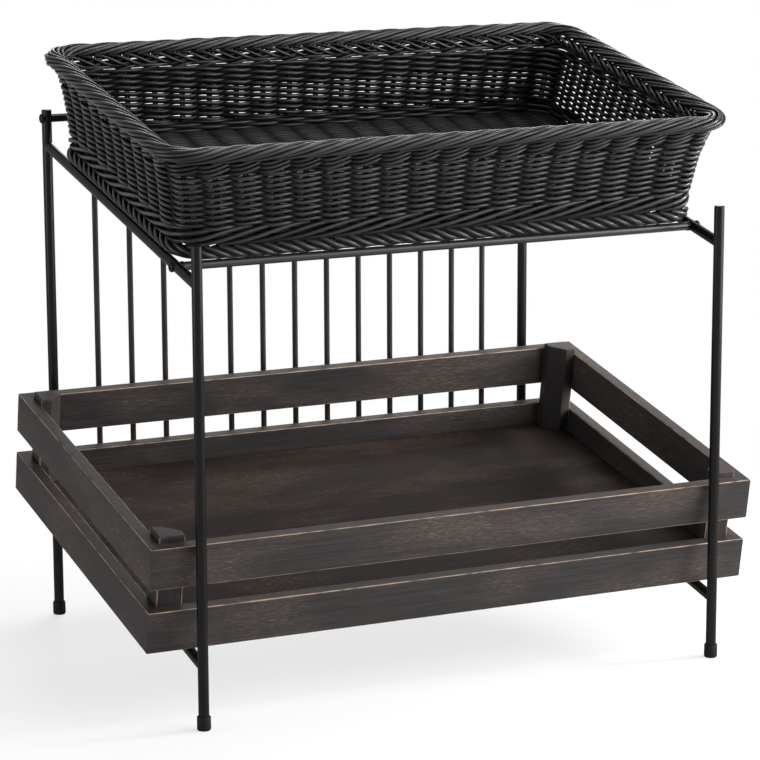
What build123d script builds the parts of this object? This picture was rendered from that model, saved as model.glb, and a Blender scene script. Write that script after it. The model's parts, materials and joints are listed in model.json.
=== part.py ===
from build123d import *
import os
from math import atan2, cos, degrees, hypot, sin

# Stand: round steel bar, millimetres, front towards -Y, floor at Z = 0
leg_spacing_x = 475.0
leg_spacing_y = 368.0
bar_diameter = 8.9
upper_rod_height = 367.5
lower_rod_height = 54.0
rod_rise = 66.5
leg_above_rod = 32.0
leg_top_chamfer = 0.8
weld_gap = 0.1

# Push-on caps under the legs
foot_cap_height = 12.0
foot_cap_wall = 1.3
foot_cap_floor = 2.5
foot_cap_clearance = 0.05

# Cross bar between the upper side rods, back bars between the back legs
cross_bar_diameter = 7.2
front_bar_setback = 45.0
back_bar_rise = 24.0
bar_seat_depth = 0.8
bar_seat_clearance = 0.2
washer_thickness = 2.0
washer_lip = 0.5

# Upright rods of the back grille
grille_rod_diameter = 5.2
grille_rod_count = 13
grille_rod_pitch = 32.4

# Screws that hold the knock-down frame together
screw_diameter = 4.0
screw_head_height = 2.8
screw_head_below_crown = 0.1
screw_grip = 12.0
screw_hole_clearance = 0.2
screw_thread_clearance = 0.05
screw_tip_room = 2.0

# Crate of stained boards
crate_overhang = 40.5
crate_leg_clearance = 1.2
crate_rest_clearance = 0.3
board_thickness = 11.0
board_height = 36.5
board_gap = 20.0
board_edge_chamfer = 0.8
post_width = 22.0
post_chamfer = 13.0
post_proud = 5.0
floor_thickness = 6.0
floor_lift = 8.0
floor_groove_depth = 4.0
floor_groove_clearance = 0.2
floor_side_clearance = 0.5

# Woven basket
basket_overhang = 23.5
basket_depth_margin = 23.0
basket_height = 96.5
basket_corner_radius = 34.0
basket_rest_clearance = 0.3
rim_width = 17.0
rim_height = 12.0
rim_chamfer = 3.5
rim_overhang = 8.0
weave_thickness = 8.9
weave_relief = 2.8
stake_count = 58
shoulder_drop = 25.0
shoulder_inset = 6.0
base_thickness = 5.0
base_corner_radius = 28.0
base_over_rod = 2.5
base_border = 12.0
base_relief = 1.6
stick_pitch = 26.1
stick_width = 5.0
foot_width = 12.5
foot_height = 11.5
foot_chamfer = 3.5
foot_inset = 4.5

# Values that follow from the sizes above
bar_radius = bar_diameter / 2
rod_slope = atan2(rod_rise, leg_spacing_y)
rod_length = hypot(leg_spacing_y, rod_rise)
side_x = leg_spacing_x / 2
front_y = -leg_spacing_y / 2
back_y = leg_spacing_y / 2
front_leg_height = upper_rod_height + leg_above_rod
back_leg_height = front_leg_height + rod_rise
foot_cap_radius = bar_radius + foot_cap_clearance + foot_cap_wall
screw_radius = screw_diameter / 2
screw_head_radius = bar_radius - screw_head_below_crown
washer_radius = cross_bar_diameter / 2 + washer_lip
SIDES = {"left": -1, "right": 1}
ENDS = {"front": front_y, "back": back_y}
ON_BASE = (Align.CENTER, Align.CENTER, Align.MIN)
QUARTER_TURN = 90


def bar_between(start, end, diameter):
    """Straight round bar between two points of its axis."""
    run = Vector(*end) - Vector(*start)
    return Plane(origin=start, z_dir=run) * Cylinder(diameter / 2, run.length, align=ON_BASE)


def upright(x, y, radius, bottom, top):
    """Vertical cylinder between two heights."""
    return Pos(x, y, bottom) * Cylinder(radius, top - bottom, align=ON_BASE)


def rod_point(side, height, setback):
    """Point on a side rod's axis, at a distance in Y behind the front leg's axis."""
    return (side * side_x, front_y + setback, height + setback * rod_rise / leg_spacing_y)


def facing_out(point, side):
    """Plane at a point with its Z axis pointing sideways, away from the stand's middle."""
    return Plane(origin=point, x_dir=(0, 1, 0), z_dir=(side, 0, 0))


def screw_seat(point, side, along, inner_radius):
    """Cut for one screw in a bar that runs along a direction: a hole between two milled flats."""
    flat = bar_radius - bar_seat_depth
    hole = Cylinder(screw_radius + screw_hole_clearance, 2 * bar_diameter)
    head_width = 2 * (screw_head_radius + bar_seat_clearance)
    head_seat = Pos(0, 0, flat) * Box(head_width, bar_diameter, bar_diameter, align=ON_BASE)
    bar_width = 2 * (inner_radius + bar_seat_clearance)
    bar_seat = Pos(0, 0, -flat - bar_diameter) * Box(bar_width, bar_diameter, bar_diameter, align=ON_BASE)
    return Plane(origin=point, x_dir=along, z_dir=(side, 0, 0)) * (hole + head_seat + bar_seat)


def bar_screw(point, side, spacer):
    """Round-head screw from the outer side of a bar into the end of a cross bar."""
    seat = bar_radius - bar_seat_depth
    head = Cylinder(screw_head_radius, screw_head_height, align=ON_BASE)
    shank_length = 2 * seat + spacer + screw_grip
    shank = Pos(0, 0, -shank_length) * Cylinder(screw_radius, shank_length, align=ON_BASE)
    return facing_out(point, side) * Pos(0, 0, seat) * (head + shank)


def tapped_bar(left_point, right_point, spacer):
    """Bar between two side bars, shortened to their seats and drilled at both ends."""
    inset = bar_radius - bar_seat_depth + spacer
    start = (left_point[0] + inset, left_point[1], left_point[2])
    end = (right_point[0] - inset, right_point[1], right_point[2])
    bar = bar_between(start, end, cross_bar_diameter)
    hole_length = screw_grip + screw_tip_room
    hole = Cylinder(screw_radius + screw_thread_clearance, 2 * hole_length)
    for point, side in ((start, -1), (end, 1)):
        bar -= facing_out(point, side) * hole
    return bar


def bar_washer(point, side):
    """Dark collar between a side rod and the end of the front cross bar."""
    ring = Cylinder(washer_radius, washer_thickness, align=ON_BASE)
    ring -= Cylinder(screw_radius + screw_hole_clearance, 2 * washer_thickness)
    seat = bar_radius - bar_seat_depth
    return facing_out(point, side) * Pos(0, 0, -seat - washer_thickness) * ring


def leg(x, y, height):
    """Upright bar that stands on the floor of its cap, with a chamfered top."""
    bar = upright(x, y, bar_radius, foot_cap_floor, height)
    return chamfer(bar.edges().group_by(Axis.Z)[-1], leg_top_chamfer)


def foot_cap(x, y):
    """Push-on cup under a leg."""
    cup = Cylinder(foot_cap_radius, foot_cap_height, align=ON_BASE)
    bore = Cylinder(bar_radius + foot_cap_clearance, foot_cap_height, align=ON_BASE)
    return Pos(x, y, 0) * (cup - Pos(0, 0, foot_cap_floor) * bore)


def side_rod(side, height):
    """Sloping bar welded between a front and a back leg, with its ends hollowed to the legs."""
    rod = bar_between(rod_point(side, height, 0), rod_point(side, height, leg_spacing_y), bar_diameter)
    for y in ENDS.values():
        rod -= upright(side * side_x, y, bar_radius + weld_gap, 0, back_leg_height)
    return rod


parts = {}

# Side frames: legs, caps and sloping rods, the upper ones with a seat for the front cross bar
tiers = {"upper": upper_rod_height, "lower": lower_rod_height}
front_points = {side: rod_point(side, upper_rod_height, front_bar_setback) for side in SIDES.values()}
for side_name, side in SIDES.items():
    x = side * side_x
    parts[f"front_leg_{side_name}"] = leg(x, front_y, front_leg_height)
    back_leg = leg(x, back_y, back_leg_height)
    for height in tiers.values():
        seat_point = (x, back_y, height + rod_rise + back_bar_rise)
        back_leg -= screw_seat(seat_point, side, (0, 0, 1), cross_bar_diameter / 2)
    parts[f"back_leg_{side_name}"] = back_leg
    for end_name, y in ENDS.items():
        parts[f"foot_cap_{end_name}_{side_name}"] = foot_cap(x, y)
    for tier, height in tiers.items():
        parts[f"{tier}_side_rod_{side_name}"] = side_rod(side, height)
    bar_seat = screw_seat(front_points[side], side, (0, leg_spacing_y, rod_rise), washer_radius)
    parts[f"upper_side_rod_{side_name}"] -= bar_seat

# Front cross bar with its collars, back bars, and the screws that hold them
parts["front_cross_bar"] = tapped_bar(front_points[-1], front_points[1], washer_thickness)
washers = [bar_washer(point, side) for side, point in front_points.items()]
front_screws = [bar_screw(point, side, washer_thickness) for side, point in front_points.items()]
back_screws = []
for tier, height in tiers.items():
    back_height = height + rod_rise + back_bar_rise
    back_points = {side: (side * side_x, back_y, back_height) for side in SIDES.values()}
    parts[f"{tier}_back_bar"] = tapped_bar(back_points[-1], back_points[1], 0)
    back_screws += [bar_screw(point, side, 0) for side, point in back_points.items()]
parts["cross_bar_washers"] = Compound(children=washers)
parts["front_bar_screws"] = Compound(children=front_screws)
parts["back_bar_screws"] = Compound(children=back_screws)

# Back grille: thin uprights with their ends hollowed to the two back bars
grille_bottom = lower_rod_height + rod_rise + back_bar_rise
grille_top = upper_rod_height + rod_rise + back_bar_rise
for number in range(grille_rod_count):
    x = (number - (grille_rod_count - 1) / 2) * grille_rod_pitch
    rod = upright(x, back_y, grille_rod_diameter / 2, grille_bottom, grille_top)
    for height in (grille_bottom, grille_top):
        ends = ((-side_x, back_y, height), (side_x, back_y, height))
        rod -= bar_between(*ends, cross_bar_diameter + 2 * weld_gap)
    parts[f"grille_rod_{number + 1:02d}"] = rod

# Crate: it fills the room between the legs and leans with the lower rods
crate_height = 2 * board_height + board_gap
crate_length = leg_spacing_x + 2 * crate_overhang
crate_rest = bar_radius + crate_rest_clearance
leg_room = leg_spacing_y - 2 * (bar_radius + crate_leg_clearance)
crate_depth = (leg_room - crate_height * sin(rod_slope)) / cos(rod_slope)
crate_lean = (crate_rest + crate_height) * sin(rod_slope)
crate_setback = (bar_radius + crate_leg_clearance + crate_lean) / cos(rod_slope)
crate_y = front_y + crate_setback * cos(rod_slope) - crate_rest * sin(rod_slope)
crate_z = lower_rod_height + crate_setback * sin(rod_slope) + crate_rest * cos(rod_slope)
crate_place = Location((0, crate_y, crate_z), (degrees(rod_slope), 0, 0)) * Pos(0, crate_depth / 2, 0)
floor_top = floor_lift + floor_thickness


def mitred_board(length, grooved):
    """Board along X with its outer face at Y = 0, mitred inwards at both ends."""
    half = length / 2
    inner_half = half - board_thickness
    corners = [(-half, 0), (half, 0), (inner_half, board_thickness), (-inner_half, board_thickness)]
    board = extrude(make_face(Polyline(*corners, close=True)), board_height)
    board = chamfer(board.edges().filter_by(Axis.X), board_edge_chamfer)
    if grooved:
        groove_height = floor_thickness + floor_groove_clearance
        groove = Box(length, floor_groove_depth, groove_height, align=(Align.CENTER, Align.MAX, Align.MIN))
        board -= Pos(0, board_thickness, floor_lift) * groove
    return board


post_height = crate_height + post_proud - floor_top
post_reach = post_width - post_chamfer
post_outline = Polyline(
    (0, 0), (post_width, 0), (post_width, post_reach), (post_reach, post_width), (0, post_width), close=True
)
post = extrude(make_face(post_outline), post_height)
post = chamfer(post.edges().group_by(Axis.Z)[-1], board_edge_chamfer)

# Going round the crate a quarter turn at a time: a wall of each ring, then the post at its left end
rings = {"lower": (0, True), "upper": (board_height + board_gap, False)}
walls = {"front": "front_left", "right": "front_right", "back": "back_right", "left": "back_left"}
for quarter, (wall, corner) in enumerate(walls.items()):
    length, across = (crate_length, crate_depth) if quarter % 2 == 0 else (crate_depth, crate_length)
    turned = crate_place * Rot(0, 0, quarter * QUARTER_TURN)
    for ring, (lift, grooved) in rings.items():
        board = Pos(0, -across / 2, lift) * mitred_board(length, grooved)
        parts[f"crate_{ring}_{wall}_board"] = turned * board
    corner_point = Pos(board_thickness - length / 2, board_thickness - across / 2, floor_top)
    parts[f"crate_post_{corner}"] = turned * corner_point * post

floor_reach = 2 * (floor_groove_depth - floor_side_clearance - board_thickness)
floor_panel = Box(crate_length + floor_reach, crate_depth + floor_reach, floor_thickness, align=ON_BASE)
parts["crate_floor"] = crate_place * Pos(0, 0, floor_lift) * floor_panel

# Basket: its foot lies on the side rods and over the front bar, its rim overhangs them
basket_length = leg_spacing_x + 2 * basket_overhang
basket_depth = leg_spacing_y - 2 * basket_depth_margin
base_length = leg_spacing_x + 2 * base_over_rod
base_depth = rod_length - 2 * front_bar_setback / cos(rod_slope) + 2 * foot_inset
foot_out = 2 * (foot_width / 2 - foot_inset)
wall_bottom = foot_height + base_thickness
wall_top = basket_height - rim_height
rod_top = Location((0, front_y, upper_rod_height), (degrees(rod_slope), 0, 0))
basket_place = rod_top * Pos(0, rod_length / 2, bar_radius + basket_rest_clearance)


def basket_outline(length, depth, radius, height):
    """Flat rounded rectangle at a height above the basket's lowest point."""
    return Pos(0, 0, height) * RectangleRounded(length, depth, radius)


def basket_border(length, depth, radius, width, height, edge_chamfer, lift):
    """Closed border round the basket, with chamfered edges and its lowest face at lift."""
    path = basket_outline(length - width, depth - width, radius - width / 2, lift + height / 2).wire()
    section = Rectangle(height, width)
    section = chamfer(section.vertices(), edge_chamfer)
    return sweep(path.location_at(0) * section, path)


def woven_outline(length, depth, radius, height, at_stakes, between):
    """Outline at a height, drawn from stake to stake, with one inset at the stakes and one between them."""
    lines = []
    for inset in (at_stakes, between):
        line = basket_outline(length - 2 * inset, depth - 2 * inset, radius - inset, height).wire()
        lines.append((line, line.param_at_point(Vector(0, inset - depth / 2, height))))
    points = []
    for step in range(2 * stake_count):
        line, front_middle = lines[step % 2]
        points.append(line @ ((front_middle + step / (2 * stake_count)) % 1))
    return make_face(Polyline(*points, close=True))


def wall_skin(at_stakes, between):
    """Body inside one face of the woven wall, which waves in and out from stake to stake."""
    top = 2 * rim_overhang
    shoulder = top + 2 * shoulder_inset
    top_radius = basket_corner_radius - rim_overhang
    shoulder_height = wall_top - shoulder_drop
    foot_outline = (base_length, base_depth, base_corner_radius, wall_bottom)
    shoulder_outline = (basket_length - shoulder, basket_depth - shoulder, top_radius, shoulder_height)
    top_outline = (basket_length - top, basket_depth - top, top_radius, wall_top)
    sizes = (foot_outline, shoulder_outline, top_outline)
    return loft([woven_outline(*size, at_stakes, between) for size in sizes], ruled=True)


rim_sizes = (basket_length, basket_depth, basket_corner_radius, rim_width, rim_height, rim_chamfer, wall_top)
parts["basket_rim"] = basket_place * basket_border(*rim_sizes)
outer_skin = wall_skin(0, weave_relief)
inner_skin = wall_skin(weave_thickness, weave_thickness - weave_relief)
parts["basket_wall"] = basket_place * (outer_skin - inner_skin)

# Woven bottom: both its faces fall back between the sticks, inside the border that the wall stands on
base = extrude(basket_outline(base_length, base_depth, base_corner_radius, foot_height), base_thickness)
half_groove = (stick_pitch - stick_width) / 2
groove_outline = Polyline(
    (-half_groove, 0), (0, -base_relief), (half_groove, 0), (0, base_relief), close=True
)
groove_length = base_depth - 2 * base_border
groove = extrude(Plane.XZ * make_face(groove_outline), groove_length / 2, both=True)
groove_count = int((base_length - 2 * base_border) / stick_pitch)
groove_places = []
for number in range(groove_count):
    x = (number - (groove_count - 1) / 2) * stick_pitch
    groove_places += [Pos(x, 0, foot_height), Pos(x, 0, wall_bottom)]
base -= [place * groove for place in groove_places]
parts["basket_base"] = basket_place * base
foot_outline = (base_length + foot_out, base_depth + foot_out, base_corner_radius + foot_out / 2)
parts["basket_foot"] = basket_place * basket_border(*foot_outline, foot_width, foot_height, foot_chamfer, 0)

os.makedirs("parts", exist_ok=True)
for name, shape in parts.items():
    export_step(shape, f"parts/{name}.step")
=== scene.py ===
import json
import math

import bmesh
import bpy
from mathutils import Matrix, Vector

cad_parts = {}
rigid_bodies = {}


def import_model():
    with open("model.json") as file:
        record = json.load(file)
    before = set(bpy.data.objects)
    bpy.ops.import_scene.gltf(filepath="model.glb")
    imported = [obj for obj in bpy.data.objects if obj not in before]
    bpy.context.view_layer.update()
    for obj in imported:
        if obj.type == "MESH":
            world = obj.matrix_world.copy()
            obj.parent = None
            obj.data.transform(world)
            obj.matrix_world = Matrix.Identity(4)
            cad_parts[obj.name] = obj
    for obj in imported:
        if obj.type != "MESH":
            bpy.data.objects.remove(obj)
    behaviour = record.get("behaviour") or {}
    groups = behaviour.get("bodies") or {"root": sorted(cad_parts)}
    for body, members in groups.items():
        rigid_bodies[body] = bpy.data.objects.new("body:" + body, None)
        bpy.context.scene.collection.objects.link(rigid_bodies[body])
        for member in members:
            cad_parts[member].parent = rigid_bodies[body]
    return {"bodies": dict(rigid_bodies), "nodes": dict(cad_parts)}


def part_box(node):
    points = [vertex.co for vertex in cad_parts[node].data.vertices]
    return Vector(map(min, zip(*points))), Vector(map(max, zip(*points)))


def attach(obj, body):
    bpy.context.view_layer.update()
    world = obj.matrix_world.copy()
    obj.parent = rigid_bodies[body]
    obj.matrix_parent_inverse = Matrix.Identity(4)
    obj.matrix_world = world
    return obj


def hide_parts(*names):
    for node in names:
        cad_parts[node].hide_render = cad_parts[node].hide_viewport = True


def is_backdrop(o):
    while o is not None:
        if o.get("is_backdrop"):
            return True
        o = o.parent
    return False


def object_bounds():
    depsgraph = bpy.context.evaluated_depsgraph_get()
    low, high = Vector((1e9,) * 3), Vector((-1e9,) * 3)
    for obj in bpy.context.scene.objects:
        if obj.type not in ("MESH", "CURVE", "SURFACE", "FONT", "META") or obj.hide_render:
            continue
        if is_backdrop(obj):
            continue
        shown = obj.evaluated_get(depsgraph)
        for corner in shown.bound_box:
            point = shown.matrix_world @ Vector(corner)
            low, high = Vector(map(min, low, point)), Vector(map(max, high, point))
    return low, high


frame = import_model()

scene = bpy.context.scene
nodes = frame["nodes"]
loaded = set(nodes.values()) | set(frame["bodies"].values())
for spare in [thing for thing in bpy.data.objects if thing not in loaded]:
    bpy.data.objects.remove(spare)
cad_low, cad_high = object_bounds()


# Side frames and back grille: round mild steel bar, cut to length and welded, four legs with two sloping
# rods on each side and thirteen thin uprights at the back. All of it is powder coated black: satin on the
# frames and smoother on the front cross bar, whose colour is lighter as a painted highlight. The uprights'
# colour is lighter and browner: painted light, for the light and warm reflections that they catch.
coat_colours = ((0.0052, 0.0050, 0.0049, 1), (0.0098, 0.0092, 0.0089, 1))
coat_roughness = (0.2, 0.3)
coat_grain = (0.0011, 0.00004)
coat_shine = 0.24
# Lighter colours for the front cross bar: a painted highlight along the bar.
bar_highlight_colours = ((0.0105, 0.0104, 0.0104, 1), (0.0185, 0.0180, 0.0178, 1))
bar_roughness = (0.3, 0.36)
bar_shine = 0.8
# Lighter, browner colours for the grille uprights: painted light, for the light and warm reflections that
# the thin uprights catch.
rod_lit_colours = ((0.0200, 0.0164, 0.0152, 1), (0.0360, 0.0292, 0.0268, 1))
rod_roughness = (0.3, 0.38)
rod_grain = (0.0011, 0.00006)
dull_patch = (0.3, 0.7)
dull_shine = 0.75


def add_node(tree, kind, inputs=None, **settings):
    """Puts a node into a tree. Its inputs are set to values, or linked where the value is an output."""
    node = tree.nodes.new(kind)
    for name, value in settings.items():
        setattr(node, name, value)
    for key, value in (inputs or {}).items():
        if isinstance(value, bpy.types.NodeSocket):
            tree.links.new(value, node.inputs[key])
        else:
            node.inputs[key].default_value = value
    return node


def add_math(tree, operation, first, second=0.0, third=0.0):
    """Output of a math node."""
    return add_node(tree, "ShaderNodeMath", {0: first, 1: second, 2: third}, operation=operation).outputs[0]


def add_range(tree, value, low, high, from_low=0.0, from_high=1.0):
    """Output of a node that maps a value from one range to another, and keeps it inside."""
    inputs = {"Value": value, "From Min": from_low, "From Max": from_high, "To Min": low, "To Max": high}
    return add_node(tree, "ShaderNodeMapRange", inputs).outputs[0]


def add_mix(tree, share, first, second):
    """Colour between two colours."""
    return add_node(tree, "ShaderNodeMix", {0: share, 6: first, 7: second}, data_type="RGBA").outputs[2]


def new_group(name, kind, inputs, outputs):
    """Node group with named inputs and outputs. Returns it with the sockets at its two ends."""
    group = bpy.data.node_groups.new(name, kind)
    for way, sockets in (("INPUT", inputs), ("OUTPUT", outputs)):
        for label, (socket_kind, value) in sockets.items():
            socket = group.interface.new_socket(label, in_out=way, socket_type="NodeSocket" + socket_kind)
            if value is not None:
                socket.default_value = value
    return group, add_node(group, "NodeGroupInput").outputs, add_node(group, "NodeGroupOutput").inputs


def new_material(name):
    """Material with its node tree and its shader's inputs."""
    material = bpy.data.materials.new(name)
    material.use_nodes = True
    return material, material.node_tree, material.node_tree.nodes["Principled BSDF"].inputs


# Skin of a coated or moulded surface: fine grain, and broad patches where it is a little duller.
skin, given, result = new_group(
    "coated_skin",
    "ShaderNodeTree",
    {"Grain Size": ("Float", 0.0011), "Patch Size": ("Float", 0.05)},
    {"Grain": ("Float", None), "Patches": ("Float", None)},
)
place = add_node(skin, "ShaderNodeTexCoord").outputs["Object"]
for label, size in (("Grain", "Grain Size"), ("Patches", "Patch Size")):
    scale = add_math(skin, "DIVIDE", 1.0, given[size])
    noise = add_node(skin, "ShaderNodeTexNoise", {"Vector": place, "Scale": scale, "Detail": 3.0})
    skin.links.new(noise.outputs[0], result[label])


def coated(name, colours, roughness, grain, shine):
    """Coated or moulded surface, from glossy to dull. Its grain is given by a size and a depth."""
    material, tree, shader = new_material(name)
    grain_size, grain_depth = grain
    surface = add_node(tree, "ShaderNodeGroup", {"Grain Size": grain_size}, node_tree=skin).outputs
    shader["Specular IOR Level"].default_value = 0.0
    shader["Coat Roughness"].default_value = roughness[0]
    patches = add_range(tree, surface["Patches"], 0.0, 1.0, *dull_patch)
    tree.links.new(add_mix(tree, patches, *colours), shader["Base Color"])
    tree.links.new(add_range(tree, patches, *roughness), shader["Roughness"])
    tree.links.new(add_range(tree, patches, shine, dull_shine * shine), shader["Coat Weight"])
    bump = add_node(tree, "ShaderNodeBump", {"Height": surface["Grain"], "Distance": grain_depth})
    tree.links.new(bump.outputs[0], shader["Normal"])
    return material


black_coat = coated("satin_black_coat", coat_colours, coat_roughness, coat_grain, coat_shine)
bar_highlight_coat = coated("smooth_black_coat", bar_highlight_colours, bar_roughness, coat_grain, bar_shine)
rod_lit_coat = coated("thin_black_coat", rod_lit_colours, rod_roughness, rod_grain, coat_shine)
sides = ("left", "right")
bars = [f"{end}_leg_{side}" for end in ("front", "back") for side in sides]
bars += [f"{tier}_side_rod_{side}" for tier in ("upper", "lower") for side in sides]
bars += ["upper_back_bar", "lower_back_bar"]
grille_rods = [name for name in nodes if name.startswith("grille_rod_")]
for name in bars:
    nodes[name].material_slots[0].material = black_coat
nodes["front_cross_bar"].material_slots[0].material = bar_highlight_coat
for name in grille_rods:
    nodes[name].material_slots[0].material = rod_lit_coat


# Screws: blackened button-head screws with a hexagon socket. They go through the side rods and the back
# legs from outside into the ends of the front cross bar and the two bars of the grille.
screw_head_radius = 0.00435
screw_head_height = 0.0028
socket_flat = 0.0013
socket_depth = 0.0017
socket_chamfer = 0.0002
seat_sink = 0.0001
screw_sides = 24
crease_angle = math.radians(40)
screw_colours = ((0.007, 0.007, 0.0075, 1), (0.013, 0.013, 0.0135, 1))
screw_roughness = (0.3, 0.42)
screw_grain = (0.0006, 0.00002)
screw_shine = 0.2

blackened = coated("blackened_steel", screw_colours, screw_roughness, screw_grain, screw_shine)


def lathe(name, rings, steps):
    """Mesh turned about Z through rings of (radius, height, how far the ring is drawn into a hexagon)."""
    shape = bmesh.new()
    turned = []
    for radius, height, hexagon in rings:
        ring = []
        for step in range(steps):
            angle = math.tau * step / steps
            flat = radius * math.cos(math.pi / 6) / math.cos(angle % (math.pi / 3) - math.pi / 6)
            reach = radius + (flat - radius) * hexagon
            ring.append(shape.verts.new((reach * math.cos(angle), reach * math.sin(angle), height)))
        turned.append(ring)
    for lower, upper in zip(turned, turned[1:]):
        for step in range(steps):
            after = (step + 1) % steps
            shape.faces.new((lower[step], lower[after], upper[after], upper[step]))
    shape.faces.new(turned[-1])
    shape.faces.new(turned[0][::-1])
    mesh = bpy.data.meshes.new(name)
    shape.to_mesh(mesh)
    shape.free()
    for face in mesh.polygons:
        face.use_smooth = True
    mesh.set_sharp_from_angle(angle=crease_angle)
    return bpy.data.objects.new(name, mesh)


# Sets one shape on each point of a guide, turned so that its Z axis follows the point's facing.
setting_out, given, result = new_group(
    "set_on_points",
    "GeometryNodeTree",
    {"Points": ("Geometry", None), "Shape": ("Object", None), "Material": ("Material", None)},
    {"Pieces": ("Geometry", None)},
)
facing = add_node(
    setting_out, "GeometryNodeInputNamedAttribute", {"Name": "facing"}, data_type="FLOAT_VECTOR"
)
turn = add_node(setting_out, "FunctionNodeAlignRotationToVector", {"Vector": facing.outputs[0]}, axis="Z")
shape = add_node(setting_out, "GeometryNodeObjectInfo", {"Object": given["Shape"]})
pieces = add_node(
    setting_out,
    "GeometryNodeInstanceOnPoints",
    {"Points": given["Points"], "Instance": shape.outputs["Geometry"], "Rotation": turn.outputs[0]},
)
real = add_node(setting_out, "GeometryNodeRealizeInstances", {0: pieces.outputs[0]})
finished = add_node(
    setting_out, "GeometryNodeSetMaterial", {0: real.outputs[0], "Material": given["Material"]}
)
setting_out.links.new(finished.outputs[0], result["Pieces"])


def guide_mesh(name, points, edges, numbers=None, vectors=None):
    """Guide object of points and lines, with numbers and directions kept on its points."""
    mesh = bpy.data.meshes.new(name)
    mesh.from_pydata(points, edges, [])
    for label, values in (numbers or {}).items():
        mesh.attributes.new(label, "FLOAT", "POINT").data.foreach_set("value", values)
    for label, values in (vectors or {}).items():
        flat = [part for value in values for part in value]
        mesh.attributes.new(label, "FLOAT_VECTOR", "POINT").data.foreach_set("vector", flat)
    guide = bpy.data.objects.new(name, mesh)
    scene.collection.objects.link(guide)
    return guide


def grow(name, guide, tree, inputs, body, replaced):
    """Runs a node tree on a guide and keeps the result as a plain mesh that rides on a body."""
    modifier = guide.modifiers.new(tree.name, "NODES")
    modifier.node_group = tree
    for item in tree.interface.items_tree:
        if item.in_out == "INPUT" and item.name in inputs:
            modifier[item.identifier] = inputs[item.name]
    made = bpy.data.meshes.new_from_object(guide.evaluated_get(bpy.context.evaluated_depsgraph_get()))
    bpy.data.objects.remove(guide)
    piece = bpy.data.objects.new(name, made)
    scene.collection.objects.link(piece)
    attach(piece, body)
    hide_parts(*replaced)


# The head from its seat up over the dome, and down into the socket.
head = lathe(
    "screw_head",
    [
        (screw_head_radius * 0.55, -seat_sink, 0),
        (screw_head_radius, 0, 0),
        (screw_head_radius, screw_head_height * 0.3, 0),
        (screw_head_radius * 0.93, screw_head_height * 0.62, 0),
        (screw_head_radius * 0.76, screw_head_height * 0.86, 0),
        (screw_head_radius * 0.5, screw_head_height, 0),
        (socket_flat * 1.25, screw_head_height, 1),
        (socket_flat * 1.1, screw_head_height - socket_chamfer, 1),
        (socket_flat * 1.1, screw_head_height - socket_depth, 1),
    ],
    screw_sides,
)
back_bar_heights = [sum(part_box(f"{tier}_back_bar"), Vector()).z / 2 for tier in ("upper", "lower")]
for name, heights in (("front_bar_screws", None), ("back_bar_screws", back_bar_heights)):
    low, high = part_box(name)
    middle = (low + high) / 2
    seat = high.x - screw_head_height
    spots = [(side * seat, middle.y, height) for side in (-1, 1) for height in (heights or [middle.z])]
    ways = [(math.copysign(1, spot[0]), 0, 0) for spot in spots]
    points = guide_mesh(name + "_points", spots, [], vectors={"facing": ways})
    settings = {"Shape": head, "Material": blackened}
    heads = name.replace("bar_screws", "screw_heads")
    grow(heads, points, setting_out, settings, "stand", [name])
bpy.data.objects.remove(head)
nodes["cross_bar_washers"].material_slots[0].material = blackened


# Foot caps: cups of soft black plastic, moulded with a rounded sole and a softened lip. One is pushed on
# under each of the four legs, and grips it by itself.
cap_wall = 0.0013
cap_sole = ((0.0016, 0), (0.0007, 0.00025), (0.00018, 0.0009), (0, 0.0018))
cap_lip = ((0.0001, 0.0007), (0.0004, 0.0001), (0.0008, 0), (cap_wall, 0.0003), (cap_wall, 0.003))
cap_steps = 40
cap_colours = ((0.007, 0.0068, 0.0068, 1), (0.0125, 0.012, 0.012, 1))
cap_roughness = (0.5, 0.66)
cap_grain = (0.0008, 0.00005)
cap_shine = 0.15

cap_plastic = coated("cap_plastic", cap_colours, cap_roughness, cap_grain, cap_shine)
cap_nodes = [f"foot_cap_{end}_{side}" for end in ("front", "back") for side in sides]
low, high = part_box(cap_nodes[0])
cap_radius = (high.x - low.x) / 2
cap_height = high.z - low.z
# The sole's heights count up from the floor, the lip's depths down from the top.
rings = [(cap_radius - inset, height, 0) for inset, height in cap_sole]
rings += [(cap_radius - inset, cap_height - depth, 0) for inset, depth in cap_lip]
cap = lathe("foot_cap", rings, cap_steps)
spots = []
for name in cap_nodes:
    low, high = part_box(name)
    spots.append(((low.x + high.x) / 2, (low.y + high.y) / 2, low.z))
points = guide_mesh("cap_points", spots, [], vectors={"facing": [(0, 0, 1)] * len(spots)})
settings = {"Shape": cap, "Material": cap_plastic}
grow("foot_caps", points, setting_out, settings, "stand", cap_nodes)
bpy.data.objects.remove(cap)


# Crate: planed softwood boards, mitred and glued into two rings round corner posts, with a bottom let
# into a groove. Stained dark grey-brown, then rubbed along the edges so that pale wood shows.
stain_colours = ((0.0165, 0.0158, 0.0166, 1), (0.053, 0.0445, 0.0405, 1))
bottom_colours = ((0.016, 0.0132, 0.0122, 1), (0.043, 0.033, 0.028, 1))
fleck_colour = (0.17, 0.120, 0.087, 1)
bare_wood = (0.48, 0.335, 0.225, 1)
board_bare = 0.77
bottom_bare = 0.6
board_shine = 0.27
bottom_shine = 0.1
pale_shine = 0.4
stain_roughness = (0.5, 0.66)
wax_roughness = 0.5
streak_tone = (0.05, 0.5, 0.32, 0.7)
patch_tone = (0.0, 1.0, 0.45, 0.66)
fleck_tone = (0.0, 0.62, 0.52, 0.72)
patch_share = 0.35
fleck_height = 0.5
grain_depth = 0.00012
grain_strength = 0.6
rub_break = (0.15, 0.97, 0.3, 0.67)
rub_full = 1.15
rub_width = 0.0013
edge_round = 0.0003
edge_reach = 0.0009
board_shift = (0.37, 0.73)
weld_distance = 1e-6
flat_angle = math.radians(1)

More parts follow.
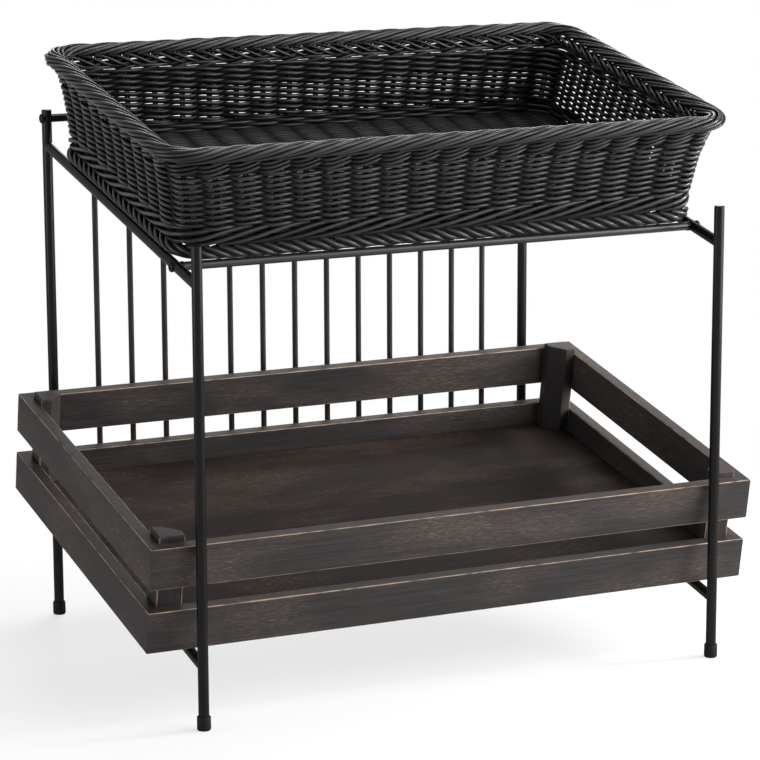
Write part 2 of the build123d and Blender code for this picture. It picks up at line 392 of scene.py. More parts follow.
front_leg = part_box("front_leg_left")
back_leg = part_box("back_leg_left")
front_y = (front_leg[0].y + front_leg[1].y) / 2
back_y = (back_leg[0].y + back_leg[1].y) / 2
slope = math.atan2(back_leg[1].z - front_leg[1].z, back_y - front_y)
upright = Matrix.Rotation(-slope, 4, "X")

# Grain of a board: streaks along the first coordinate, pale flecks, and clouds where the stain is thin.
grain, given, result = new_group(
    "board_grain",
    "ShaderNodeTree",
    {"Place": ("Vector", None), "Scale": ("Float", 1.0)},
    {"Streak": ("Float", None), "Fleck": ("Float", None), "Cloud": ("Float", None)},
)
for label, stretch, detail in (
    ("Streak", (16, 800, 800), 4.0),
    ("Fleck", (150, 2200, 2200), 2.0),
    ("Cloud", (9, 24, 24), 3.0),
):
    drawn = add_node(grain, "ShaderNodeVectorMath", {0: given["Place"], 1: stretch}, operation="MULTIPLY")
    inputs = {"Vector": drawn.outputs[0], "Scale": given["Scale"], "Detail": detail}
    grain.links.new(add_node(grain, "ShaderNodeTexNoise", inputs).outputs[0], result[label])

# Rubbed edge: strongest on the edge itself, broken up along its length.
rubbed, given, result = new_group(
    "rubbed_edge",
    "ShaderNodeTree",
    {"Edge": ("Float", 0.0), "Place": ("Vector", None), "Patch Size": ("Float", 0.013)},
    {"Bare": ("Float", None)},
)
scale = add_math(rubbed, "DIVIDE", 1.0, given["Patch Size"])
patch = add_node(rubbed, "ShaderNodeTexNoise", {"Vector": given["Place"], "Scale": scale, "Detail": 5.0})
reach = add_range(rubbed, patch.outputs[0], *rub_break)
rubbed.links.new(add_range(rubbed, given["Edge"], 0.0, 1.0, reach, rub_full), result["Bare"])


def stained(name, colours, bare_share, shine):
    """Stained board, with streaks, flecks and rubbed edges."""
    material, tree, shader = new_material(name)
    shader["Specular IOR Level"].default_value = 0.0
    shader["Coat Roughness"].default_value = wax_roughness
    place = add_node(tree, "ShaderNodeAttribute", attribute_name="board_place").outputs["Vector"]
    edge = add_node(tree, "ShaderNodeAttribute", attribute_name="edge").outputs["Fac"]
    figure = add_node(tree, "ShaderNodeGroup", {"Place": place}, node_tree=grain).outputs
    wear = add_node(tree, "ShaderNodeGroup", {"Edge": edge, "Place": place}, node_tree=rubbed)
    bare = add_math(tree, "MULTIPLY", wear.outputs["Bare"], bare_share)
    streaks = add_range(tree, figure["Streak"], *streak_tone)
    worn_patch = add_range(tree, figure["Cloud"], *patch_tone)
    tone = add_math(tree, "MULTIPLY_ADD", worn_patch, patch_share, streaks)
    flecks = add_math(tree, "MULTIPLY", add_range(tree, figure["Fleck"], *fleck_tone), worn_patch)
    colour = add_mix(tree, tone, *colours)
    colour = add_mix(tree, flecks, colour, fleck_colour)
    colour = add_mix(tree, bare, colour, bare_wood)
    tree.links.new(colour, shader["Base Color"])
    tree.links.new(add_range(tree, tone, *stain_roughness), shader["Roughness"])
    tree.links.new(add_range(tree, tone, shine, pale_shine * shine), shader["Coat Weight"])
    height = add_math(tree, "MULTIPLY_ADD", figure["Fleck"], fleck_height, figure["Streak"])
    relief = {"Height": height, "Distance": grain_depth, "Strength": grain_strength}
    tree.links.new(add_node(tree, "ShaderNodeBump", relief).outputs[0], shader["Normal"])
    return material


stained_wood = stained("stained_wood", stain_colours, board_bare, board_shine)
bottom_wood = stained("stained_bottom", bottom_colours, bottom_bare, bottom_shine)


def crate_piece(node, along, number, material):
    """Piece of the crate with softened edges, its grain running along X, Y or Z of the crate."""
    shape = bmesh.new()
    shape.from_mesh(nodes[node].data)
    bmesh.ops.transform(shape, matrix=upright, verts=shape.verts)
    bmesh.ops.remove_doubles(shape, verts=shape.verts, dist=weld_distance)
    bmesh.ops.dissolve_limit(shape, angle_limit=flat_angle, verts=shape.verts, edges=shape.edges)
    bmesh.ops.bevel(
        shape,
        geom=shape.edges[:],
        offset=edge_round,
        segments=1,
        profile=0.5,
        affect="EDGES",
        clamp_overlap=True,
    )
    bmesh.ops.recalc_face_normals(shape, faces=shape.faces)
    first = {"X": 0, "Y": 1, "Z": 2}[along]
    across = [(first + 1) % 3, (first + 2) % 3]
    low = [min(corner.co[axis] for corner in shape.verts) for axis in range(3)]
    high = [max(corner.co[axis] for corner in shape.verts) for axis in range(3)]
    for axis in across:
        square = Vector((axis == 0, axis == 1, axis == 2))
        for level in (low[axis] + rub_width, high[axis] - rub_width):
            whole = shape.verts[:] + shape.edges[:] + shape.faces[:]
            bmesh.ops.bisect_plane(shape, geom=whole, plane_co=square * level, plane_no=square)
    edge = shape.verts.layers.float.new("edge")
    place = shape.verts.layers.float_vector.new("board_place")
    for corner in shape.verts:
        at = corner.co
        inside = max(min(at[axis] - low[axis], high[axis] - at[axis]) for axis in across)
        corner[edge] = 1.0 if inside < edge_reach else 0.0
        shifted = [at[axis] + shift * number for axis, shift in zip(across, board_shift)]
        corner[place] = (at[first], *shifted)
    bmesh.ops.transform(shape, matrix=upright.inverted(), verts=shape.verts)
    mesh = bpy.data.meshes.new(node)
    shape.to_mesh(mesh)
    shape.free()
    for label in ("custom_normal", "sharp_edge", "sharp_face"):
        if label in mesh.attributes:
            mesh.attributes.remove(mesh.attributes[label])
    mesh.polygons.foreach_set("use_smooth", [False] * len(mesh.polygons))
    mesh.materials.append(material)
    mesh.polygons.foreach_set("material_index", [0] * len(mesh.polygons))
    piece = bpy.data.objects.new(node.replace("crate_", "wooden_"), mesh)
    scene.collection.objects.link(piece)
    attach(piece, "crate")
    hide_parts(node)


crate_nodes = [name for name in nodes if name.startswith("crate_")]
for number, name in enumerate(crate_nodes):
    if name == "crate_floor":
        crate_piece(name, "X", number, bottom_wood)
    else:
        along = "Z" if "post" in name else "Y" if name.endswith(("left_board", "right_board")) else "X"
        crate_piece(name, along, number, stained_wood)


# Basket: charcoal polymer reed woven over pairs of thick stakes. The wall is plain weave below three rounds
# of paired strands, and it stands on a band of slanting stake ends. It lies loose on the upper side rods.
leg_above_rod = 0.032
foot_over_rod = 0.00475
reed_colours = ((0.0040, 0.0039, 0.0041, 1), (0.0370, 0.0363, 0.0372, 1))
reed_roughness = (0.36, 0.5)
lacquer_roughness = 0.24
lacquer_shown = (0.03, 0.44, 0.0, 0.9)
# Range of the painted shade in the crevices of the weave.
crevice_shade_range = (0.1, 1.0, -0.3, 0.8)
tint_share = 0.45
rib_stretch = (0.8, 3.7, 9)
rib_tone = (0.0, 0.55, 0.3, 0.7)
rib_depth = 0.00012
rib_strength = 0.5
reed_radius = 0.00166
reed_sides = 7
stake_count = 58
stake_radius = 0.00125
stake_pair = 0.052
stake_foot = 0.009
stake_step = 0.0062
stake_points = 14
ribs_along_stake = 100
row_pitch = 0.0025
plain_rows = 19
open_rows = 11
close_radius = 0.00174
plain_bottom = 0.0262
pair_pitch = 0.0039
pair_rounds = 3
pair_gap = 0.0038
inner_row_count = 5
inner_drop = 0.0025
slit_offsets = (-0.0017, 0.0022)
weave_swing = 0.0029
wave_flatness = 0.3
row_spread = 7.3
steps_between_stakes = (-stake_pair, stake_pair, 0.2, 0.35, 0.5, 0.65, 0.8)
wall_bottom = 0.0165
wall_half_length = 0.23555
wall_half_depth = 0.1413
end_flare = 0.114
end_curve = 1.135
side_flare = 0.029
top_flare = 0.24
top_start = 0.00907
flare_step = 0.002
corner_radius = 0.0225

rod_run = math.hypot(back_y - front_y, back_leg[1].z - front_leg[1].z)
rod_front = Vector((0, front_y, front_leg[1].z - leg_above_rod))
lean = Matrix.Rotation(slope, 4, "X")
basket_place = Matrix.Translation(rod_front) @ lean @ Matrix.Translation((0, rod_run / 2, foot_over_rod))
basket_up = lean.to_3x3() @ Vector((0, 0, 1))

# Painted shade: the reed's colour darkens where a strand's surface faces into the weave, in the crevices
# between strands, behind the stakes and inside the borders. The coat weight drops there as well.
reed, tree, shader = new_material("charcoal_reed")
shader["Specular IOR Level"].default_value = 0.0
shader["Coat Roughness"].default_value = lacquer_roughness
row = add_node(tree, "ShaderNodeAttribute", attribute_name="row").outputs["Fac"]
stake = add_node(tree, "ShaderNodeAttribute", attribute_name="stake").outputs["Fac"]
rounded = add_node(tree, "ShaderNodeAttribute", attribute_name="round").outputs["Fac"]
along = add_node(tree, "ShaderNodeCombineXYZ", {0: stake, 1: row, 2: rounded}).outputs[0]
drawn = add_node(tree, "ShaderNodeVectorMath", {0: along, 1: rib_stretch}, operation="MULTIPLY").outputs[0]
ribs = add_node(tree, "ShaderNodeTexNoise", {"Vector": drawn, "Scale": 1.0, "Detail": 4.0}).outputs[0]
tint = add_node(tree, "ShaderNodeTexWhiteNoise", {"W": row}, noise_dimensions="1D").outputs["Value"]
tone = add_math(tree, "MULTIPLY_ADD", tint, tint_share, add_range(tree, ribs, *rib_tone))
shown = add_node(tree, "ShaderNodeAttribute", attribute_name="shown").outputs["Fac"]
# Painted shade: darker where the strand faces into the weave.
crevice_shaded_tone = add_math(tree, "MULTIPLY", tone, add_range(tree, shown, *crevice_shade_range))
tree.links.new(add_mix(tree, crevice_shaded_tone, *reed_colours), shader["Base Color"])
tree.links.new(add_range(tree, shown, *lacquer_shown), shader["Coat Weight"])
tree.links.new(add_range(tree, tone, *reed_roughness), shader["Roughness"])
relief = {"Height": ribs, "Distance": rib_depth, "Strength": rib_strength}
tree.links.new(add_node(tree, "ShaderNodeBump", relief).outputs[0], shader["Normal"])

# Strands along the lines of a guide. They swing in and out past the stakes, and a waling strand also
# climbs while it is outside.
strands, given, result = new_group(
    "woven_strands",
    "GeometryNodeTree",
    {
        "Lines": ("Geometry", None),
        "Swing": ("Float", 0.0),
        "Bias": ("Float", 0.0),
        "Rise": ("Float", 0.0),
        "Hook": ("Float", 0.0),
        "Stakes per Wave": ("Float", 2.0),
        "Unevenness": ("Float", 0.0),
        "Up": ("Vector", (0, 0, 1)),
        "Strand Radius": ("Float", 0.0012),
        "Strand Sides": ("Int", 6),
        "Seed": ("Float", 1.0),
        "Material": ("Material", None),
    },
    {"Strands": ("Geometry", None)},
)


def named(tree, label, kind="FLOAT"):
    """Attribute of the guide's points."""
    return add_node(tree, "GeometryNodeInputNamedAttribute", {"Name": label}, data_type=kind).outputs[0]


def add_vector(tree, operation, first, second):
    """Output of a vector math node."""
    key = "Scale" if operation == "SCALE" else 1
    node = add_node(tree, "ShaderNodeVectorMath", {0: first, key: second}, operation=operation)
    return node.outputs["Value" if operation == "DOT_PRODUCT" else "Vector"]


def keep(tree, geometry, label, value, kind="FLOAT"):
    """Geometry with a value kept on its points under a name."""
    inputs = {0: geometry, "Name": label, "Value": value}
    return add_node(tree, "GeometryNodeStoreNamedAttribute", inputs, data_type=kind).outputs[0]


def strand_tubes(tree, curves, radius, sides_socket, material):
    """Tubes round curves. They keep the place round the tube, and how far each point faces to the open,
    which the reed material turns into painted shade.
    """
    ring = add_node(tree, "GeometryNodeCurvePrimitiveCircle", {"Resolution": sides_socket, "Radius": 1.0})
    share = add_node(tree, "GeometryNodeSplineParameter").outputs["Factor"]
    inputs = {"Curve": curves, "Profile Curve": keep(tree, ring.outputs[0], "round", share)}
    inputs.update({"Scale": radius, "Fill Caps": True})
    tube = add_node(tree, "GeometryNodeCurveToMesh", inputs).outputs[0]
    normal = add_node(tree, "GeometryNodeInputNormal").outputs[0]
    shown = add_vector(tree, "DOT_PRODUCT", normal, named(tree, "facing", "FLOAT_VECTOR"))
    real = add_node(tree, "GeometryNodeRealizeInstances", {0: keep(tree, tube, "shown", shown)})
    return add_node(tree, "GeometryNodeSetMaterial", {0: real.outputs[0], "Material": material}).outputs[0]


stake, row = named(strands, "stake"), named(strands, "row")
phase = add_math(strands, "MULTIPLY", add_math(strands, "ADD", stake, row), math.tau)
phase = add_math(strands, "DIVIDE", phase, given["Stakes per Wave"])
wave = add_math(strands, "COSINE", phase)
flatter = add_math(strands, "MULTIPLY", wave, wave)
flatter = add_math(strands, "MULTIPLY_ADD", flatter, -wave_flatness, 1 + wave_flatness)
swing = add_math(strands, "MULTIPLY_ADD", wave, flatter, given["Bias"])
swing = add_math(strands, "MULTIPLY", swing, given["Swing"])
climb = add_math(strands, "MULTIPLY", add_math(strands, "SINE", phase), given["Rise"])
twice = add_math(strands, "SINE", add_math(strands, "MULTIPLY", phase, 2.0))
climb = add_math(strands, "MULTIPLY_ADD", twice, given["Hook"], climb)
apart = add_math(strands, "MULTIPLY", row, row_spread)
spot = add_node(strands, "ShaderNodeCombineXYZ", {0: stake, 1: apart, 2: given["Seed"]}).outputs[0]
uneven = add_node(strands, "ShaderNodeTexNoise", {"Vector": spot, "Scale": 0.6, "Detail": 1.0}).outputs[0]
uneven = add_math(strands, "SUBTRACT", uneven, 0.5)
climb = add_math(strands, "MULTIPLY_ADD", uneven, given["Unevenness"], climb)
outward = add_vector(strands, "SCALE", named(strands, "outward", "FLOAT_VECTOR"), swing)
upward = add_vector(strands, "SCALE", given["Up"], climb)
moved = add_node(
    strands,
    "GeometryNodeSetPosition",
    {0: given["Lines"], "Offset": add_vector(strands, "ADD", outward, upward)},
)
facing = add_vector(strands, "SCALE", outward, 1 / weave_swing)
marked = keep(strands, moved.outputs[0], "facing", facing, "FLOAT_VECTOR")
curves = add_node(strands, "GeometryNodeMeshToCurve", {0: marked}).outputs[0]
tubes = strand_tubes(strands, curves, given["Strand Radius"], given["Strand Sides"], given["Material"])
strands.links.new(tubes, result["Strands"])


def strand_guide(name, lines, closed):
    """Guide of lines for strands, each a list of (point in the basket, outward, stake, row)."""
    spots, edges, stakes, rows, ways = [], [], [], [], []
    for line in lines:
        first = len(spots)
        for point, way, stake, row in line:
            spots.append(basket_place @ Vector(point))
            ways.append(lean.to_3x3() @ Vector(way))
            stakes.append(stake)
            rows.append(row)
        edges += [(index, index + 1) for index in range(first, len(spots) - 1)]
        if closed:
            edges.append((len(spots) - 1, first))
    return guide_mesh(name, spots, edges, {"stake": stakes, "row": rows}, {"outward": ways})


def outline_point(share, half_length, half_depth, radius):
    """Point at a share of the way round a rounded rectangle, from the middle of the front to the right."""
    quarter, part = divmod(share % 1 * 4, 1)
    if quarter % 2:
        part = 1 - part
    straight, side = half_length - radius, half_depth - radius
    bend = radius * math.pi / 2
    run = part * (straight + bend + side)
    if run < straight:
        x, y = run, -half_depth
    elif run < straight + bend:
        angle = (run - straight) / radius
        x, y = straight + radius * math.sin(angle), -side - radius * math.cos(angle)
    else:
        x, y = half_length, run - straight - bend - side
    return (x if quarter in (0, 1) else -x), (y if quarter in (0, 3) else -y)


def outline_way(share, half_length, half_depth, radius):
    """Outward direction, square to the outline."""
    step = 1e-4
    before = outline_point(share - step, half_length, half_depth, radius)
    after = outline_point(share + step, half_length, half_depth, radius)
    way = Vector((after[1] - before[1], before[0] - after[0], 0))
    return way.normalized()


def wall_outline(height):
    """Half sizes and corner radius of the middle of the woven wall at a height over the basket's foot."""
    rise = height - wall_bottom
    half_length = wall_half_length + end_flare * rise + end_curve * rise**2
    half_depth = wall_half_depth + max(side_flare * rise, top_flare * rise - top_start)
    return half_length, half_depth, corner_radius


def wall_line(height, row):
    """One strand's way round the wall, with points beside and between the stakes."""
    outline = wall_outline(height)
    above = wall_outline(height + flare_step)
    flare = [(wide - narrow) / flare_step for wide, narrow in zip(above, outline)]
    line = []
    for stake in range(stake_count):
        for step in steps_between_stakes:
            share = (stake + step) / stake_count
            way = outline_way(share, *outline)
            way.z = -abs(way.x) * flare[0] - abs(way.y) * flare[1]
            line.append(((*outline_point(share, *outline), height), way.normalized(), stake + step, row))
    return line


def weave(name, guide, replaced, **inputs):
    """Strands of the basket along a guide."""
    settings = {"Up": basket_up, "Strand Radius": reed_radius, "Strand Sides": reed_sides, "Material": reed}
    for label, value in inputs.items():
        settings[label.replace("_", " ").title().replace("Per", "per")] = value
    grow(name, guide, strands, settings, "basket", replaced)


rows = [wall_line(plain_bottom + number * row_pitch, number) for number in range(plain_rows)]
weave(
    "basket_plain_weave",
    strand_guide("plain_rows", rows[:open_rows], True),
    ["basket_wall"],
    swing=weave_swing,
    hook=0.0005,
    unevenness=0.0007,
)
weave(
    "basket_close_weave",
    strand_guide("close_rows", rows[open_rows:], True),
    [],
    swing=weave_swing,
    hook=0.0005,
    unevenness=0.0005,
    strand_radius=close_radius,
)

paired_bottom = plain_bottom + (plain_rows - 1) * row_pitch + pair_gap
paired = []
for number in range(pair_rounds):
    paired += [wall_line(paired_bottom + number * pair_pitch, strand) for strand in (0, 1)]
weave(
    "basket_paired_rows",
    strand_guide("paired_rows", paired, True),
    [],
    swing=weave_swing,
    rise=0.0024,
    unevenness=0.0006,
)

inner_heights = [wall_bottom - inner_drop + number * row_pitch for number in range(inner_row_count)]
inner_heights += [paired_bottom + offset for offset in slit_offsets]
inner_rows = [wall_line(height, number) for number, height in enumerate(inner_heights)]
weave("basket_inner_rows", strand_guide("inner_rows", inner_rows, True), [], swing=0.0016, bias=-0.9)

stake_heights = [stake_foot + stake_step * step for step in range(stake_points)]
uprights = []
for stake in range(stake_count):
    for step in (-stake_pair, stake_pair):
        share = (stake + step) / stake_count
        line = []
        for height in stake_heights:
            at = outline_point(share, *wall_outline(height))
            line.append(((*at, height), (0, 0, 0), height * ribs_along_stake, stake + step))
        uprights.append(line)
weave("basket_stakes", strand_guide("stakes", uprights, False), [], strand_radius=stake_radius)


# Rolled border of the basket: the upper stake ends, laid over in pairs, wrapped round a core of three reeds
# and tucked in. The wraps climb to the right, and a braid of thinner reed closes the inside under them.
border_points = 464
rim_path = (0.2525, 0.1525, 0.0255, 0.0905)
rim_core_offsets = ((-0.0028, -0.001), (0.0028, -0.001), (0, 0.0012))
braid_path = (0.2455, 0.1455, 0.0185, 0.0832)

# Strands wrapped round a path in groups, from one angle about it to another.
borders, given, result = new_group(
    "wrapped_border",
    "GeometryNodeTree",
    {
        "Path": ("Geometry", None),
        "Groups": ("Int", 60),
        "Strands per Group": ("Int", 4),
        "Bunching": ("Float", 0.9),
        "Advance": ("Float", 1.5),
        "Start Angle": ("Float", 0.0),
        "End Angle": ("Float", 3.0),
        "Half Width": ("Float", 0.007),
        "Half Height": ("Float", 0.005),
        "Unevenness": ("Float", 0.0),
        "Proud": ("Float", 0.0),
        "Up": ("Vector", (0, 0, 1)),
        "Points per Strand": ("Int", 14),
        "Strand Radius": ("Float", 0.0012),
        "Strand Sides": ("Int", 6),
        "Seed": ("Float", 0.0),
        "Material": ("Material", None),
    },
    {"Strands": ("Geometry", None)},
)
path = add_node(borders, "GeometryNodeMeshToCurve", {0: given["Path"]}).outputs[0]
total = add_math(borders, "MULTIPLY", given["Groups"], given["Strands per Group"])
sheet = add_node(
    borders,
    "GeometryNodeMeshGrid",
    {"Size X": 1.0, "Size Y": 1.0, "Vertices X": given["Points per Strand"], "Vertices Y": total},
).outputs[0]
ends = add_node(borders, "GeometryNodeInputMeshEdgeVertices")
apart = add_vector(borders, "SUBTRACT", ends.outputs["Position 1"], ends.outputs["Position 2"])
apart = add_node(borders, "ShaderNodeSeparateXYZ", {0: apart}).outputs[1]
lengthwise = add_math(borders, "COMPARE", apart, 0.0, 1e-7)
curves = add_node(borders, "GeometryNodeMeshToCurve", {0: sheet, "Selection": lengthwise}).outputs[0]
position = add_node(borders, "GeometryNodeInputPosition").outputs[0]
spot = add_node(borders, "ShaderNodeSeparateXYZ", {0: position})
part = add_math(borders, "ADD", spot.outputs[0], 0.5)
number = add_math(borders, "ADD", spot.outputs[1], 0.5)
number = add_math(borders, "MULTIPLY", number, add_math(borders, "SUBTRACT", total, 1.0))
number = add_math(borders, "ROUND", number)
marked = curves
for label, value in (("row", number), ("stake", part)):
    marked = keep(borders, marked, label, value)
number, part = named(borders, "row"), named(borders, "stake")
group = add_math(borders, "FLOOR", add_math(borders, "DIVIDE", number, given["Strands per Group"]))
within = add_math(borders, "MODULO", number, given["Strands per Group"])
first = add_math(borders, "COMPARE", within, 0.0, 0.1)
within = add_math(borders, "DIVIDE", within, given["Strands per Group"])
share = add_math(borders, "MULTIPLY_ADD", within, given["Bunching"], group)
share = add_math(borders, "MULTIPLY_ADD", part, given["Advance"], share)
share = add_math(borders, "FRACT", add_math(borders, "DIVIDE", share, given["Groups"]))
on_path = add_node(borders, "GeometryNodeSampleCurve", {"Curves": path, "Factor": share}, mode="FACTOR")
sideways = add_vector(borders, "CROSS_PRODUCT", on_path.outputs["Tangent"], given["Up"])
angle = add_math(borders, "SUBTRACT", given["End Angle"], given["Start Angle"])
angle = add_math(borders, "MULTIPLY_ADD", part, angle, given["Start Angle"])
draw = add_math(borders, "ADD", number, given["Seed"])
jitter = add_node(borders, "ShaderNodeTexWhiteNoise", {"W": draw}, noise_dimensions="1D").outputs[0]
loose = add_math(borders, "MULTIPLY_ADD", jitter, given["Unevenness"], 1.0)
loose = add_math(borders, "MULTIPLY_ADD", first, given["Proud"], loose)
width = add_math(borders, "MULTIPLY", add_math(borders, "COSINE", angle), given["Half Width"])
height = add_math(borders, "MULTIPLY", add_math(borders, "SINE", angle), given["Half Height"])
width = add_math(borders, "MULTIPLY", width, loose)
height = add_math(borders, "MULTIPLY", height, loose)
wrapped = add_vector(
    borders,
    "ADD",
    add_vector(borders, "SCALE", sideways, width),
    add_vector(borders, "SCALE", given["Up"], height),
)
wrapped = add_vector(borders, "ADD", wrapped, on_path.outputs["Position"])
laid = add_node(borders, "GeometryNodeSetPosition", {0: marked, "Position": wrapped}).outputs[0]
facing = add_vector(
    borders,
    "ADD",
    add_vector(borders, "SCALE", sideways, add_math(borders, "COSINE", angle)),
    add_vector(borders, "SCALE", given["Up"], add_math(borders, "SINE", angle)),
)
laid = keep(borders, laid, "facing", facing, "FLOAT_VECTOR")
tubes = strand_tubes(borders, laid, given["Strand Radius"], given["Strand Sides"], given["Material"])
borders.links.new(tubes, result["Strands"])


def border_line(half_length, half_depth, radius, height, row, drop=None):
    """Closed line of a border, which may drop by a rule."""
    line = []
    for step in range(border_points):
        share = step / border_points
        x, y = outline_point(share, half_length, half_depth, radius)
        low = drop(share, x) if drop else 0.0
        line.append(((x, y, height - low), (0, 0, 0), step, row))
    return line


def border_path(name, *sizes, drop=None):
    """Guide of one border."""
    return strand_guide(name, [border_line(*sizes, 0, drop)], True)


def wrap_border(name, path, replaced, sizes):
    """Wrapped strands along a border's path."""
    settings = {"Up": basket_up, "Strand Sides": reed_sides, "Material": reed, "Groups": stake_count}
    grow(name, path, borders, settings | sizes, "basket", replaced)


wrap_border(
    "basket_rim_border",
    border_path("rim_path", *rim_path),
    ["basket_rim"],
    {
        "Strands per Group": 2,
        "Bunching": 0.9,
        "Advance": 4.3,
        "Start Angle": math.radians(-80),
        "End Angle": math.radians(200),
        "Half Width": 0.0067,
        "Half Height": 0.0046,
        "Unevenness": 0.06,
        "Proud": 0.13,
        "Points per Strand": 26,
        "Strand Radius": 0.00152,
    },
)
rim_core = []
for number, (outward, lift) in enumerate(rim_core_offsets):
    sizes = [size + outward for size in rim_path[:3]]
    rim_core.append(border_line(*sizes, rim_path[3] + lift, number))
weave("basket_rim_core", strand_guide("rim_core", rim_core, True), [], strand_radius=0.0026)

wrap_border(
    "basket_inner_braid",
    border_path("braid_path", *braid_path),
    [],
    {
        "Strands per Group": 2,
        "Bunching": 1.0,
        "Advance": -1.4,
        "Start Angle": math.radians(70),
        "End Angle": math.radians(290),
        "Half Width": 0.0026,
        "Half Height": 0.0042,
        "Unevenness": 0.05,
        "Points per Strand": 11,
        "Strand Radius": 0.0014,
    },
)


# Band between the wall and the foot: the thick lower ends of the stakes, of the same reed. They are bent
# over outside the wall, climb to the right over three stakes and end under the lowest row.
band_path = (0.23575, 0.1414, corner_radius, 0.0188)
wrap_border(
    "basket_lower_band",
    border_path("band_path", *band_path),
    [],
    {
        "Strands per Group": 1,
        "Bunching": 1.0,
        "Advance": 3.1,
        "Start Angle": math.radians(-88),
        "End Angle": math.radians(88),
        "Half Width": 0.0028,
        "Half Height": 0.0063,
        "Unevenness": 0.06,
        "Points per Strand": 14,
        "Strand Radius": 0.00195,
    },
)


# Border of the foot: pairs of thick reeds wrapped round a core of four, falling to the right. It lies on
# the side rods and sags a little on to the cross bar. Plain reeds fill the slit between it and the wall.
foot_path = (0.2355, 0.14125, 0.0235, 0.00605)
foot_sag = 0.0009
lift_middle = -0.05
lift_reach = 0.12
foot_core_offsets = ((-0.002, -0.0008), (0.002, -0.0008), (0, 0.0015), (0.0008, -0.0029))
filling_height = 0.0112
filling_half_length = 0.2347
filling_half_depth = 0.1405
filling_along_front = 0.19
filling_along_end = 0.1


def foot_drop(share, x):
    """Drop of the foot on to the cross bar, less between the stakes left of the middle."""
    between = 0.5 - 0.5 * math.cos(math.tau * share * stake_count)
    lifted = between * max(0.0, 1 - ((x - lift_middle) / lift_reach) ** 4)
    return foot_sag * (1 - lifted) * (1 - (x / foot_path[0]) ** 6)


wrap_border(
    "basket_foot_border",
    border_path("foot_path", *foot_path, drop=foot_drop),
    ["basket_foot"],
    {
        "Strands per Group": 2,
        "Bunching": 1.0,
        "Advance": 2.2,
        "Start Angle": math.radians(80),
        "End Angle": math.radians(-260),
        "Half Width": 0.0042,
        "Half Height": 0.0041,
        "Unevenness": 0.03,
        "Points per Strand": 20,
        "Strand Radius": 0.00195,
    },
)
foot_core = []
for number, (outward, lift) in enumerate(foot_core_offsets):
    sizes = [size + outward for size in foot_path[:3]]
    foot_core.append(border_line(*sizes, foot_path[3] + lift, number, foot_drop))
weave("basket_foot_core", strand_guide("foot_core", foot_core, True), [], strand_radius=0.0031)

filling = []
for side in (-1, 1):
    front, end = [], []
    for part in (-1, -0.5, 0, 0.5, 1):
        on_front = (part * filling_along_front, side * filling_half_depth, filling_height)
        on_end = (side * filling_half_length, part * filling_along_end, filling_height)
        front.append((on_front, (0, 0, 0), part, side))
        end.append((on_end, (0, 0, 0), part, side + 4))
    filling += [front, end]
weave("basket_foot_filling", strand_guide("foot_filling", filling, False), [], strand_radius=0.0027)


# Woven bottom of the basket: pairs of thin sticks from front to back, with fine charcoal reed woven across
# them. Its edge is caught between the wall and the band.
bottom_height = 0.014
bottom_half_length = 0.2355
bottom_half_depth = 0.1415
bottom_pitch = 0.0261
bottom_row_pitch = 0.0024
points_per_pitch = 5
fewest_points = 4
sticks_each_side = 9
stick_steps = 12


def bottom_reach(offset, half_across, half_along):
    """How far a row or a stick reaches inside the rounded outline, at an offset from the middle."""
    over = max(0.0, abs(offset) - (half_across - corner_radius))
    return half_along - corner_radius + math.sqrt(max(0.0, corner_radius**2 - over**2))


across = []
row_count = int(2 * bottom_half_depth / bottom_row_pitch)
for row in range(row_count + 1):
    y = -bottom_half_depth + row * 2 * bottom_half_depth / row_count
    reach = bottom_reach(y, bottom_half_depth, bottom_half_length)
    steps = max(fewest_points, int(2 * reach / bottom_pitch * points_per_pitch))
    line = []
    for step in range(steps + 1):
        x = -reach + 2 * reach * step / steps
        line.append(((x, y, bottom_height), (0, 0, 1), x / bottom_pitch + 0.5, row))
    across.append(line)
weave(
    "basket_bottom_weave",
    strand_guide("bottom_rows", across, False),
    ["basket_base"],
    swing=0.0016,
    strand_radius=0.0012,
    strand_sides=6,
)
sticks = []
for stick in range(-sticks_each_side, sticks_each_side):
    for step in (0.5 - stake_pair, 0.5 + stake_pair):
        x = (stick + step) * bottom_pitch
        reach = bottom_reach(x, bottom_half_length, bottom_half_depth)
        line = []
        for part in range(stick_steps + 1):
            y = -reach + 2 * reach * part / stick_steps
            line.append(((x, y, bottom_height), (0, 0, 0), part, stick))
        sticks.append(line)
weave("basket_bottom_sticks", strand_guide("bottom_sticks", sticks, False), [], strand_radius=0.001)


# Studio: a pale floor that fades into a white background, and large soft lamps at both sides, behind, in
# front and above. One small lamp at the right gives the glints on the corner of the weave.
floor_size = 40
floor_colour = (0.8, 0.8, 0.8, 1)
floor_roughness = 0.9
white_from = 0.3
white_at = 0.75
shadow_fill = 0.68
ambient = 0.08
white = (1, 1, 1, 1)
bpy.ops.mesh.primitive_plane_add(size=floor_size)
floor = bpy.context.object
floor.name = "floor"
floor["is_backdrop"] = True
pale, tree, shader = new_material("pale_floor")
shader["Base Color"].default_value = floor_colour
shader["Roughness"].default_value = floor_roughness
away = add_node(tree, "ShaderNodeTexCoord").outputs["Object"]
away = add_node(tree, "ShaderNodeVectorMath", {0: away}, operation="LENGTH").outputs["Value"]
away = add_range(tree, away, shadow_fill, 1.0, white_from, white_at)
rays = add_node(tree, "ShaderNodeLightPath").outputs
seen = add_math(tree, "MAXIMUM", rays["Is Camera Ray"], rays["Is Glossy Ray"])
glow = add_node(tree, "ShaderNodeEmission", {"Color": white, "Strength": 1.0}).outputs[0]
lit = tree.nodes["Principled BSDF"].outputs[0]
blend = add_node(tree, "ShaderNodeMixShader", {0: add_math(tree, "MULTIPLY", away, seen), 1: lit, 2: glow})
tree.links.new(blend.outputs[0], tree.nodes["Material Output"].inputs[0])
floor.data.materials.append(pale)

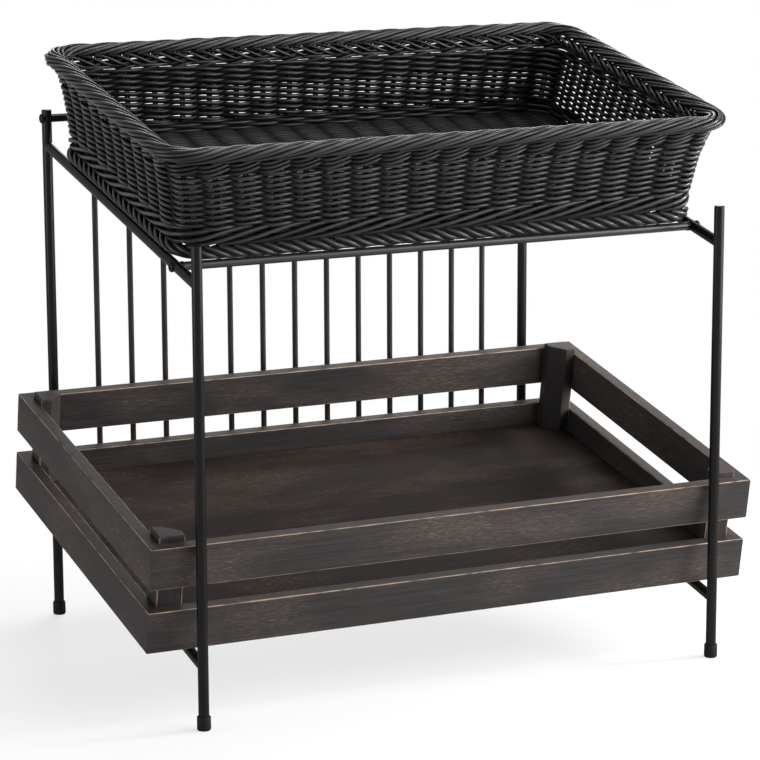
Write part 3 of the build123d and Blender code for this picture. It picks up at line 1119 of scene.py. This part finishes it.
world = bpy.data.worlds.new("studio")
world.use_nodes = True
scene.world = world
tree = world.node_tree
tree.nodes.clear()
rays = add_node(tree, "ShaderNodeLightPath").outputs
seen = add_math(tree, "MAXIMUM", rays["Is Camera Ray"], rays["Is Glossy Ray"])
seen = add_math(tree, "MAXIMUM", seen, rays["Is Transmission Ray"])
soft = add_node(tree, "ShaderNodeBackground", {"Color": white, "Strength": ambient}).outputs[0]
bright = add_node(tree, "ShaderNodeBackground", {"Color": white, "Strength": 1.0}).outputs[0]
sky = add_node(tree, "ShaderNodeMixShader", {0: seen, 1: soft, 2: bright})
add_node(tree, "ShaderNodeOutputWorld", {0: sky.outputs[0]})

middle = (cad_low + cad_high) / 2
for name, spot, size, power in (
    ("light_left", (-1.9, -0.1, 0.3), 1.2, 23),
    ("light_right", (1.35, -0.85, 0.55), 1.4, 62),
    ("light_corner", (1.6, -0.42, 0.8), 0.25, 22),
    ("light_back", (0.85, 1.8, 0.85), 1.2, 34),
    ("light_front", (1.0, -2.0, 1.1), 1.4, 19),
    ("light_top", (0.3, 0.3, 2.0), 0.8, 24),
):
    lamp = bpy.data.lights.new(name, "AREA")
    lamp.size = size
    lamp.energy = power
    box = bpy.data.objects.new(name, lamp)
    box.location = spot
    box.rotation_euler = (middle - Vector(spot)).to_track_quat("-Z", "Y").to_euler()
    scene.collection.objects.link(box)

# Camera at the photographer's place, a long lens a little above the rim and to the left.
photo_width = 760
focal_pixels = 3075.2
camera_spot = (-1.08988, -2.41918, 0.80323)
yaw, pitch, roll = math.radians(24.328), math.radians(-12.109), math.radians(-0.19)
camera = bpy.data.objects.new("camera", bpy.data.cameras.new("camera"))
camera.data.sensor_width = 36
camera.data.lens = camera.data.sensor_width * focal_pixels / photo_width
aim = Matrix.Rotation(-yaw, 4, "Z") @ Matrix.Rotation(math.pi / 2 + pitch, 4, "X")
aim = aim @ Matrix.Rotation(roll, 4, "Z")
camera.matrix_world = Matrix.Translation(camera_spot) @ aim
scene.collection.objects.link(camera)
scene.camera = camera
scene.view_settings.view_transform = "Standard"

low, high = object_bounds()
